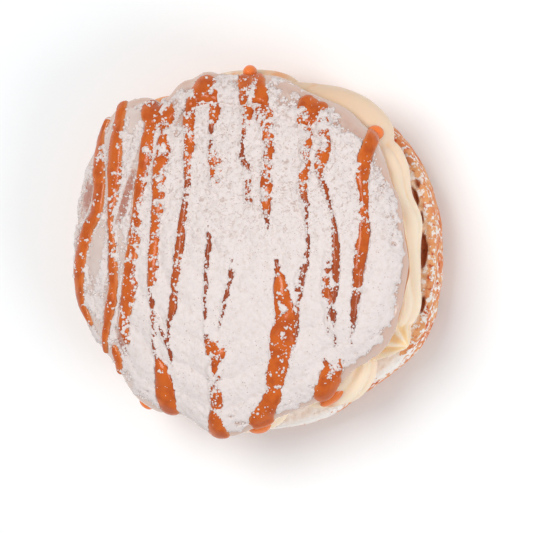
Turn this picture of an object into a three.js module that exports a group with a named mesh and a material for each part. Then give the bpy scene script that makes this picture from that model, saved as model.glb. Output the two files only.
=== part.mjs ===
// A cinnamon scroll: a flat coil of sweet dough, cut through level, filled with piped cream
// and closed again with its upper half sitting askew on the filling.
// Millimetres, +Z up. The scroll rests on its flat underside at z = 0, and its mouth,
// where the filling is thickest, opens towards +X.

import * as THREE from "three";

// ---- Driving sizes ----
const CLEARANCE = 0.3; // gap left between pieces that touch

const BASE_RADIUS = 57; // lower half at its widest
const BASE_HEIGHT = 23; // level of its cut face
const BASE_WAIST = 16.5; // height of its widest ring
const BASE_FOOT = 51; // radius of the flat underside

const LID_RADIUS = 55; // upper half at its widest
const LID_EDGE = 4; // height of its widest ring above its cut face
const LID_CROWN = 19.5; // thickness at the middle
const DOME_FULLNESS = 2.3; // the higher, the flatter its top and the rounder its rim
const LID_FURROW_FROM = 9; // height above which the coil's furrow has its full depth
const LID_TILT = THREE.MathUtils.degToRad(8); // it is lifted on the +X side
const LID_SEAT = 34.4; // height of its cut face on the axis
const LID_SHIFT = new THREE.Vector2(-1.3, -0.5); // its axis sits off that of the base

const DOUGH_TURN = 10; // width of one turn of the coil
const SEAM_TURNS = 6; // enough for the seam to reach the middle
const SEAM_WIDTH = 2.3; // half-width of the furrow between two turns
const SEAM_DEPTH = 1.4;
const SEAM_RUN_IN = 0.03; // share of a turn over which the seam deepens from the tail
const TAIL_ANGLE = 120; // degrees, where the outer turn ends
const TAIL_BLUNT = 0.7; // share of a turn's width that its blunt end takes up
const TAIL_ARC = 0.08; // share of a turn over which it does so

const CREAM_RECESS = 1.4; // how far the filling stays inside the lid's edge
const ROPE_RIDGE = 0.9; // depth of the star nozzle's ridges
const RIDGE_PITCH = 4.2; // height of one ridge
const RIDGE_SLANT = 3; // ridges climbed in one turn round the scroll

// Swellings and hollows of an outline: the middle in degrees, how far the swelling reaches
// to each side in degrees, and how far it stands out in millimetres.
const LID_LUMPS = [
  { at: 132, reach: 15, out: 5.4 }, // blunt end of the outer turn
  { at: 117, reach: 8, out: -1.4 }, // notch before it
  { at: 152, reach: 26, out: 2.8 },
  { at: 142, reach: 8, out: 0.9 },
  { at: 110, reach: 6, out: 0.8 },
  { at: 102, reach: 6, out: 1.4 },
  { at: 87, reach: 9, out: -1.2 },
  { at: 65, reach: 16, out: -1.6 },
  { at: 26, reach: 14, out: -1.6 },
  { at: 8, reach: 16, out: -1.5 },
  { at: 333, reach: 13, out: 0.5 },
  { at: 314, reach: 14, out: -3 },
  { at: 292, reach: 24, out: -2.4 },
  { at: 263, reach: 16, out: 2.9 },
  { at: 235, reach: 16, out: 3.3 },
  { at: 198, reach: 40, out: 1.7 },
];
const BASE_LUMPS = [
  { at: 133, reach: 16, out: 2.6 },
  { at: 116, reach: 9, out: -3 },
  { at: 72, reach: 42, out: -3.4 },
  { at: 334, reach: 20, out: 1.7 },
  { at: 306, reach: 16, out: -1.4 },
  { at: 236, reach: 18, out: 1.8 },
];
const CREAM_SHELLS = [
  { at: 48, reach: 28, out: 8.2 }, // the fat shell beside the mouth
  { at: 8, reach: 24, out: 2.4 },
  { at: 331, reach: 13, out: 6.6 }, // where the nozzle was lifted off
  { at: 308, reach: 13, out: 4.6 }, // the next shell
  { at: 262, reach: 16, out: 1.2 },
  { at: 232, reach: 20, out: 0.8 },
  { at: 196, reach: 14, out: 0.8 },
  { at: 88, reach: 20, out: 3 },
];

// ---- Small helpers ----
const fraction = (value) => value - Math.floor(value);

function smoothStep(value) {
  const clamped = THREE.MathUtils.clamp(value, 0, 1);
  return clamped * clamped * (3 - 2 * clamped);
}

// Radius of an outline with its swellings, at an angle in degrees.
function outline(radius, lumps, angle) {
  let total = radius;
  for (const lump of lumps) {
    const away = Math.abs(fraction((angle - lump.at) / 360 + 0.5) - 0.5) * 360;
    const share = Math.min(away / lump.reach, 1);
    total += (lump.out * (1 + Math.cos(Math.PI * share))) / 2;
  }
  return total;
}

// Depth of the coil's furrow at a point of the plan. The seam runs inwards anticlockwise
// from the tail, and steps in quickly past each turn's blunt end.
function furrow(x, y) {
  const angle = THREE.MathUtils.radToDeg(Math.atan2(y, x));
  const share = fraction((angle - TAIL_ANGLE) / 360);
  const radius = Math.hypot(x, y);
  let depth = 0;
  for (let turn = 0; turn < SEAM_TURNS; turn++) {
    const blunt = TAIL_BLUNT * Math.pow(0.6, turn);
    const wound = turn + blunt * smoothStep(share / TAIL_ARC) + (1 - blunt) * share;
    const away = (radius - (LID_RADIUS - DOUGH_TURN * wound)) / SEAM_WIDTH;
    const runIn = turn === 0 ? smoothStep(share / SEAM_RUN_IN) : 1;
    depth = Math.max(depth, SEAM_DEPTH * runIn * Math.exp(-away * away));
  }
  return depth;
}

// A closed body of revolution whose points are then moved by a formula.
function shapedLathe(profile, segments, reshape) {
  const geometry = new THREE.LatheGeometry(profile, segments);
  geometry.rotateX(Math.PI / 2);
  const position = geometry.attributes.position;
  const point = new THREE.Vector3();
  for (let i = 0; i < position.count; i++) {
    point.fromBufferAttribute(position, i);
    reshape(point);
    position.setXYZ(i, point.x, point.y, point.z);
  }
  geometry.computeVertexNormals();
  return geometry;
}

function angleOf(point) {
  return THREE.MathUtils.radToDeg(Math.atan2(point.y, point.x));
}

// ---- Lower half: flat foot, round flank, level cut face ----
function baseGeometry() {
  const cutEdge = BASE_RADIUS - 1;
  const flankSteps = 7;
  const profile = [
    new THREE.Vector2(0, 0),
    new THREE.Vector2(BASE_FOOT * 0.55, 0),
    new THREE.Vector2(BASE_FOOT, 0),
  ];
  for (let i = 1; i <= flankSteps; i++) {
    const angle = (i / flankSteps) * (Math.PI / 2);
    const radius = BASE_FOOT + (BASE_RADIUS - BASE_FOOT) * Math.sin(angle);
    profile.push(new THREE.Vector2(radius, BASE_WAIST * (1 - Math.cos(angle))));
  }
  profile.push(new THREE.Vector2(BASE_RADIUS - 0.3, BASE_WAIST + 3.5));
  profile.push(new THREE.Vector2(cutEdge, BASE_HEIGHT - 0.6));
  profile.push(new THREE.Vector2(cutEdge - 1, BASE_HEIGHT));
  profile.push(new THREE.Vector2(cutEdge * 0.55, BASE_HEIGHT));
  profile.push(new THREE.Vector2(0, BASE_HEIGHT));
  return shapedLathe(profile, 86, (point) => {
    const scale = outline(BASE_RADIUS, BASE_LUMPS, angleOf(point)) / BASE_RADIUS;
    point.x *= scale;
    point.y *= scale;
  });
}

// ---- Upper half: level cut face below, round rim, domed top with the coil's furrow ----
function domeHeight(radius) {
  const share = Math.min(radius / LID_RADIUS, 1);
  return LID_EDGE + (LID_CROWN - LID_EDGE) * Math.sqrt(1 - Math.pow(share, DOME_FULLNESS));
}

function lidGeometry() {
  const rimWidth = 6;
  const rimSteps = 5;
  const ringStep = 2.2;
  const topEdge = LID_RADIUS - rimWidth;
  const profile = [
    new THREE.Vector2(0, 0),
    new THREE.Vector2(LID_RADIUS * 0.55, 0),
    new THREE.Vector2(LID_RADIUS - 2.2, 0),
    new THREE.Vector2(LID_RADIUS - 0.9, 1),
  ];
  // The rim's points close up towards the edge, where the dome turns steep.
  for (let i = 0; i < rimSteps; i++) {
    const radius = LID_RADIUS - rimWidth * Math.pow(i / rimSteps, 2);
    profile.push(new THREE.Vector2(radius, domeHeight(radius)));
  }
  const rings = Math.round(topEdge / ringStep);
  for (let i = 0; i <= rings; i++) {
    const radius = topEdge * (1 - i / rings);
    profile.push(new THREE.Vector2(radius, domeHeight(radius)));
  }
  return shapedLathe(profile, 82, (point) => {
    const onTop = smoothStep((point.z - LID_EDGE) / (LID_FURROW_FROM - LID_EDGE));
    point.z -= onTop * furrow(point.x, point.y);
    const scale = outline(LID_RADIUS, LID_LUMPS, angleOf(point)) / LID_RADIUS;
    point.x *= scale;
    point.y *= scale;
  });
}

// ---- Filling: a wedge of cream whose edge is piped in overlapping ridged shells ----
function creamGeometry() {
  const floor = BASE_HEIGHT + CLEARANCE;
  const levels = 9;
  const radius = LID_RADIUS - CREAM_RECESS;
  const profile = [new THREE.Vector2(0, 0), new THREE.Vector2(radius * 0.6, 0)];
  for (let i = 0; i <= levels; i++) {
    profile.push(new THREE.Vector2(radius, i / levels));
  }
  profile.push(new THREE.Vector2(radius * 0.6, 1));
  profile.push(new THREE.Vector2(0, 1));
  return shapedLathe(profile, 112, (point) => {
    const share = point.z;
    const angle = angleOf(point);
    const onEdge = Math.hypot(point.x, point.y) > radius * 0.9;
    const lidEdge = outline(LID_RADIUS, LID_LUMPS, angle);
    let reach = outline(lidEdge - CREAM_RECESS, CREAM_SHELLS, angle);
    if (onEdge) {
      const ceiling = LID_SEAT - CLEARANCE + Math.tan(LID_TILT) * point.x;
      const ridges = Math.max(1, Math.round((ceiling - floor) / RIDGE_PITCH));
      const climb = share * ridges + (RIDGE_SLANT * angle) / 360;
      const belly = Math.pow(Math.abs(2 * share - 1), 2.6);
      reach -= 3.2 * belly;
      reach -= ROPE_RIDGE * (1 - belly) * Math.pow(Math.cos(Math.PI * climb), 2);
    }
    point.x *= reach / radius;
    point.y *= reach / radius;
    point.x += LID_SHIFT.x;
    point.y += LID_SHIFT.y;
    const ceiling = LID_SEAT - CLEARANCE + Math.tan(LID_TILT) * (point.x - LID_SHIFT.x);
    point.z = floor + share * (ceiling - floor);
  });
}

// ---- The scroll ----
function piece(name, geometry, colour, roughness) {
  const material = new THREE.MeshStandardMaterial({ color: colour, roughness, metalness: 0 });
  const mesh = new THREE.Mesh(geometry, material);
  mesh.name = name;
  return mesh;
}

const scroll = new THREE.Group();
scroll.add(piece("base", baseGeometry(), 0xe0a878, 0.8));
scroll.add(piece("cream", creamGeometry(), 0xf0d9b4, 0.4));

const lid = piece("lid", lidGeometry(), 0xece0dc, 0.6);
lid.rotation.y = -LID_TILT;
lid.position.set(LID_SHIFT.x, LID_SHIFT.y, LID_SEAT);
scroll.add(lid);

// The row's origin is the middle of the scroll's box, at the level it rests on.
scroll.updateMatrixWorld(true);
const middle = new THREE.Box3().setFromObject(scroll, true).getCenter(new THREE.Vector3());
scroll.position.set(-middle.x, -middle.y, 0);

export default scroll;
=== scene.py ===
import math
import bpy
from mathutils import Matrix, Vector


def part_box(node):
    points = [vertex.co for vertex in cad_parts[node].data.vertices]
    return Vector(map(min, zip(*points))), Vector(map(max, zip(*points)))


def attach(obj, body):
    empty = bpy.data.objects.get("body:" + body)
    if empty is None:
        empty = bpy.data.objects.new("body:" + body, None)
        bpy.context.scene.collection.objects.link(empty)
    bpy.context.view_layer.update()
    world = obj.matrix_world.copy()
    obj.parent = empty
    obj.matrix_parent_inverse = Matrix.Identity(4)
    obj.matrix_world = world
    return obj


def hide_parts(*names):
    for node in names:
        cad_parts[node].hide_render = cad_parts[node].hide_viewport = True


bl_info = {
    "name": "Cinnamon scroll",
    "version": (1, 0, 0),
    "blender": (4, 5, 0),
    "location": "3D View > Sidebar > Scroll",
    "description": "Models a filled and glazed cinnamon scroll round its packed frame",
    "category": "Object",
}

import bpy
import numpy as np
from mathutils import Matrix, Vector

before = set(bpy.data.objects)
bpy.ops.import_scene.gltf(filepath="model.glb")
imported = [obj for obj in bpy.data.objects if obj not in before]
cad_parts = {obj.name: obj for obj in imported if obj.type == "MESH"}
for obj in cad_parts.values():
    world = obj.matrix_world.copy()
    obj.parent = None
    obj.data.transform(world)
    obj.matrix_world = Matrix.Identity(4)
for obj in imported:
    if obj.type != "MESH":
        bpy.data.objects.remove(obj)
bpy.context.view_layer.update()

# ---- Sizes, in millimetres and degrees; MM turns them into Blender's metres ----
MM = 0.001

# The lower half: below its waist the flank curves in to the foot, and above it the flank leans in
# and rounds over at the rim.
BASE_RADIUS = 57.0
BASE_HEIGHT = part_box("base")[1].z / MM
BASE_WAIST = 16.5
BASE_FOOT = 51.0
BASE_LEAN = 0.9
BASE_RIM = 1.1

# The upper half: its rim begins at the top's edge, and its axis is shifted from the lower half's.
LID_RADIUS = 55.0
LID_EDGE = 4.0
LID_CROWN = 19.5
DOME_FULLNESS = 2.3
LID_TILT = math.radians(8.0)
LID_SEAT = 34.4
LID_SHIFT = (-1.3, -0.5)
LID_TOP_EDGE = 49.0
LID_FOOT_ROUND = 1.7
GLAZE_ROOM = 0.7

# The coil: its furrow, the stretch where a turn stands up as a step, and the blunt end of the
# outer turn, whose arc and run-in are shares of a full turn and which leaves a notch in the rim.
DOUGH_TURN = 10.0
SEAM_TURNS = 6
SEAM_WIDTH = 2.0
SEAM_DEPTH = 0.9
TURN_STEP = 0.9
STEP_HEADINGS = (40.0, 125.0)
STEP_REACH = 46.5
TAIL_ANGLE = 120.0
TAIL_BLUNT = 0.7
TAIL_ARC = 0.08
TAIL_RUN_IN = 0.02
NOTCH_DEPTH = 1.6
NOTCH_WIDTH = 1.3
NOTCH_REACH = 46.0

# Swellings of an outline: middle and reach to each side in degrees, and how far it stands out.
LID_LUMPS = (
    (132, 15, 5.4), (117, 8, -1.4), (152, 26, 2.8), (142, 8, 0.9), (110, 6, 0.8), (102, 6, 1.4),
    (87, 9, -1.2), (65, 16, -1.6), (26, 14, -1.6), (8, 16, -1.5), (333, 13, 0.5), (314, 14, -3.0),
    (292, 24, -2.4), (263, 16, 2.9), (235, 16, 3.3), (198, 40, 1.7),
)
BASE_LUMPS = (
    (133, 16, 2.6), (116, 9, -3.0), (72, 42, -3.4), (334, 20, 1.7), (306, 16, -1.4),
    (236, 18, 1.8),
)


# ---- Numbers: steps, bells and random fields that are the same on every run ----
def clamped(value):
    return np.clip(value, 0.0, 1.0)


def smooth_step(value):
    share = clamped(value)
    return share * share * (3.0 - 2.0 * share)


def bell(value):
    return 0.5 + 0.5 * np.cos(np.pi * clamped(np.abs(value)))


def turned_by(angle, at):
    """Degrees from one heading to another, between -180 and 180."""
    return (angle - at + 180.0) % 360.0 - 180.0


def heading_of(x, y):
    return np.degrees(np.arctan2(y, x))


def round_places(reach, angle):
    """x and y at a reach and an angle, in radians, round an axis."""
    return reach * np.cos(angle), reach * np.sin(angle)


def turned(x, y, angle):
    """x and y of a place after it is turned about the origin by an angle in radians."""
    cos_turn, sin_turn = math.cos(angle), math.sin(angle)
    return x * cos_turn - y * sin_turn, x * sin_turn + y * cos_turn


def outline(radius, lumps, angle):
    total = np.full(np.shape(angle), float(radius))
    for at, reach, out in lumps:
        total = total + out * bell(turned_by(angle, at) / reach)
    return total


class Noise:
    """A smooth random field over a plane, between about -1 and 1."""

    COUNT = 256
    # Brings several fields on one another back to about -1 and 1.
    GAIN = 1.6

    def __init__(self, seed):
        dice = np.random.default_rng(seed)
        self.lattice = dice.uniform(-1.0, 1.0, (self.COUNT, self.COUNT))

    def at(self, x, y, size):
        u, v = np.asarray(x) / size, np.asarray(y) / size
        i, j = np.floor(u).astype(int), np.floor(v).astype(int)
        a, b = smooth_step(u - i), smooth_step(v - j)
        near_i, far_i = i % self.COUNT, (i + 1) % self.COUNT
        near_j, far_j = j % self.COUNT, (j + 1) % self.COUNT
        low = self.lattice[near_i, near_j] * (1 - a) + self.lattice[far_i, near_j] * a
        high = self.lattice[near_i, far_j] * (1 - a) + self.lattice[far_i, far_j] * a
        return low * (1 - b) + high * b

    def cloud(self, x, y, size, octaves=3):
        """Several fields on one another, each half as large and about half as strong."""
        total, weight, whole = 0.0, 1.0, 0.0
        for octave in range(octaves):
            turn = 0.9 * octave
            p = x * math.cos(turn) - y * math.sin(turn)
            q = x * math.sin(turn) + y * math.cos(turn)
            total = total + weight * self.at(p + 37.0 * octave, q - 11.0 * octave, size)
            whole += weight
            weight *= 0.55
            size *= 0.5
        return total / whole * self.GAIN


class Cells:
    """Distance from a point of a plane to the nearest of many scattered points."""

    COUNT = 64

    def __init__(self, seed):
        dice = np.random.default_rng(seed)
        self.places = dice.uniform(0.1, 0.9, (self.COUNT, self.COUNT, 2))

    def at(self, x, y, size):
        u, v = np.asarray(x) / size, np.asarray(y) / size
        i, j = np.floor(u).astype(int), np.floor(v).astype(int)
        nearest = np.full(np.shape(u), 9.0)
        for di in (-1, 0, 1):
            for dj in (-1, 0, 1):
                place = self.places[(i + di) % self.COUNT, (j + dj) % self.COUNT]
                away = np.hypot(i + di + place[..., 0] - u, j + dj + place[..., 1] - v)
                nearest = np.minimum(nearest, away)
        return nearest * size


DOUGH_NOISE = Noise(11)
CRUMB_CELLS = Cells(12)
GLAZE_NOISE = Noise(13)
SUGAR_NOISE = Noise(14)
CARAMEL_NOISE = Noise(15)

# How far apart the holes of the open crumb lie.
CRUMB_SIZE = 2.4


def crumb_pits(x, y, depth):
    """Depth of the open crumb's holes in a cut face."""
    share = CRUMB_CELLS.at(x, y, CRUMB_SIZE) / CRUMB_SIZE
    return clamped(0.42 - share) * depth


# ---- The scroll's own surfaces ----
def base_outline(angle):
    return outline(BASE_RADIUS, BASE_LUMPS, angle)


def lid_outline(angle):
    """Outline of the upper half's dough, which leaves room for its glaze."""
    return outline(LID_RADIUS, LID_LUMPS, angle) - GLAZE_ROOM


def plan_middle(outline_at):
    """Middle of the box round an outline."""
    angle = np.arange(0.0, 360.0, 0.25)
    x, y = round_places(outline_at(angle), np.radians(angle))
    return np.array([(x.min() + x.max()) / 2, (y.min() + y.max()) / 2])


def box_middle(node):
    low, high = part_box(node)
    return np.array([(low.x + high.x) / 2, (low.y + high.y) / 2]) / MM


BASE_AXIS = box_middle("base") - plan_middle(base_outline)
LID_AXIS = BASE_AXIS + LID_SHIFT


def dome_height(radius):
    share = np.minimum(radius / LID_RADIUS, 1.0)
    return LID_EDGE + (LID_CROWN - LID_EDGE) * np.sqrt(1.0 - share**DOME_FULLNESS)


def lid_profile():
    """The lid's section as radius and height against distance from the crown."""
    top = np.linspace(0.0, LID_TOP_EDGE, 300)
    rim = LID_TOP_EDGE + (LID_RADIUS - LID_TOP_EDGE) * np.sin(np.linspace(0, np.pi / 2, 200)[1:])
    foot = np.linspace(0, np.pi / 2, 60)[1:]
    radius = np.concatenate([top, rim, LID_RADIUS - LID_FOOT_ROUND * (1 - np.cos(foot))])
    height = np.concatenate([dome_height(top), dome_height(rim), LID_EDGE * (1 - np.sin(foot))])
    length = np.hypot(np.diff(radius), np.diff(height))
    length[: len(top) - 1] = np.diff(top)
    return np.concatenate([[0.0], np.cumsum(length)]), radius, height


LID_LENGTH, LID_RADII, LID_HEIGHTS = lid_profile()
LID_SKIN = LID_LENGTH[-1]


def lid_length(u, v):
    """Distance down the skin from the crown, with the outline's swellings taken out."""
    return np.hypot(u, v) * LID_RADIUS / lid_outline(heading_of(u, v))


def coil_furrow(u, v):
    """How deep in the coil's furrow a place of the lid lies, from 0 to 1."""
    share = ((heading_of(u, v) - TAIL_ANGLE) / 360.0) % 1.0
    reach = lid_length(u, v)
    deepest = np.zeros(np.shape(reach))
    for turn in range(SEAM_TURNS):
        blunt = TAIL_BLUNT * 0.6**turn
        wound = turn + blunt * smooth_step(share / TAIL_ARC) + (1 - blunt) * share
        seam = LID_RADIUS - DOUGH_TURN * wound
        away = (reach - seam) / SEAM_WIDTH
        run_in = smooth_step(share / TAIL_RUN_IN) if turn == 0 else 1.0
        deepest = np.maximum(deepest, run_in * np.exp(-away * away))
    return deepest


def lid_to_part(x, y, z):
    """From the lid's own level frame to the part's, in metres."""
    x, z = turned(x, z, LID_TILT)
    return np.stack([x + LID_AXIS[0], y + LID_AXIS[1], z + LID_SEAT], axis=-1) * MM


def lid_point(u, v):
    """The lid's skin laid out flat: plan on top, and unrolled down the rim."""
    angle = heading_of(u, v)
    swell = lid_outline(angle) / LID_RADIUS
    length = np.hypot(u, v) / swell
    radius = np.interp(length, LID_LENGTH, LID_RADII) * swell
    height = np.interp(length, LID_LENGTH, LID_HEIGHTS)
    on_top = smooth_step((height - LID_EDGE) / 5.0)
    height = height - on_top * (GLAZE_ROOM + SEAM_DEPTH * coil_furrow(u, v))
    height = height + on_top * 0.45 * DOUGH_NOISE.cloud(u, v, 14.0)
    first, last = STEP_HEADINGS
    stepped = smooth_step((angle - first) / 15.0) * smooth_step((last - angle) / 12.0)
    height = height + TURN_STEP * stepped * smooth_step((length - STEP_REACH) / 0.9)
    across = np.radians(turned_by(angle, TAIL_ANGLE)) * radius / NOTCH_WIDTH
    notch = np.exp(-(across**2)) * smooth_step((length - NOTCH_REACH) / 6.0)
    radius = radius - NOTCH_DEPTH * notch
    radius = radius + 0.35 * (1 - on_top) * DOUGH_NOISE.cloud(u, v, 9.0)
    return lid_to_part(*round_places(radius, np.radians(angle)), height)


def lid_lifted(u, v, lift):
    """Points that stand so many millimetres off the lid's skin, along its normal."""
    gap = 0.2
    along_u = lid_point(u + gap, v) - lid_point(u - gap, v)
    along_v = lid_point(u, v + gap) - lid_point(u, v - gap)
    normal = np.cross(along_u, along_v)
    normal /= np.linalg.norm(normal, axis=-1, keepdims=True)
    return lid_point(u, v) + normal * (np.asarray(lift) * MM)[..., None]


# ---- Lines and what is laid along them ----
def eased_line(points, step):
    """A smooth line through the given points, which may carry more columns than a place."""
    points = np.array(points, float)
    ends = [2 * points[0] - points[1]], [2 * points[-1] - points[-2]]
    padded = np.concatenate([ends[0], points, ends[1]])
    samples = []
    for before, start, end, after in zip(padded, padded[1:], padded[2:], padded[3:]):
        count = max(int(np.linalg.norm((end - start)[:2]) / step), 1)
        share = np.arange(count)[:, None] / count
        slope = (end - before) * share
        bend = (2 * before - 5 * start + 4 * end - after) * share**2
        twist = (3 * start - before - 3 * end + after) * share**3
        samples.append(start + 0.5 * (slope + bend + twist))
    return np.concatenate([*samples, points[-1:]])


class LineMap:
    """Where lines lie on the laid-out skin of the lid.

    Its grids say how far inside a line a place lies, to which side of the line's middle, how bare
    the line is there and how wide.
    """

    def __init__(self, lines):
        self.step, self.reach, self.margin = 0.25, 70.0, 3.0
        count = int(2 * self.reach / self.step) + 1
        self.axis = np.arange(count) * self.step - self.reach
        nowhere = {"inside": -1.0 - self.margin, "side": 0.0, "bare": 0.0, "width": 1.0}
        self.grids = {name: np.full((count, count), value) for name, value in nowhere.items()}
        for line in lines:
            places = eased_line(line, 0.35)
            heading = np.gradient(places[:, :2], axis=0)
            heading /= np.linalg.norm(heading, axis=1, keepdims=True) + 1e-9
            for (u, v, width, bare), (du, dv) in zip(places, heading):
                self._stamp(u, v, max(width, 0.15), bare, du, dv)

    def _stamp(self, u, v, width, bare, du, dv):
        reach = width + self.margin
        i0, i1 = np.searchsorted(self.axis, (u - reach, u + reach))
        j0, j1 = np.searchsorted(self.axis, (v - reach, v + reach))
        away_u, away_v = self.axis[i0:i1, None] - u, self.axis[None, j0:j1] - v
        inside = width - np.hypot(away_u, away_v)
        side = (away_v * du - away_u * dv) / width
        window = (slice(i0, i1), slice(j0, j1))
        nearer = inside > self.grids["inside"][window]
        stamp = {"inside": inside, "side": side, "bare": bare, "width": width}
        for name, value in stamp.items():
            grid = self.grids[name]
            grid[window] = np.where(nearer, value, grid[window])

    def at(self, name, u, v):
        grid = self.grids[name]
        i = np.clip((np.asarray(u) + self.reach) / self.step, 0, len(self.axis) - 1.001)
        j = np.clip((np.asarray(v) + self.reach) / self.step, 0, len(self.axis) - 1.001)
        i0, j0 = i.astype(int), j.astype(int)
        a, b = i - i0, j - j0
        low = grid[i0, j0] * (1 - a) + grid[i0 + 1, j0] * a
        high = grid[i0, j0 + 1] * (1 - a) + grid[i0 + 1, j0 + 1] * a
        return low * (1 - b) + high * b


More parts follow.
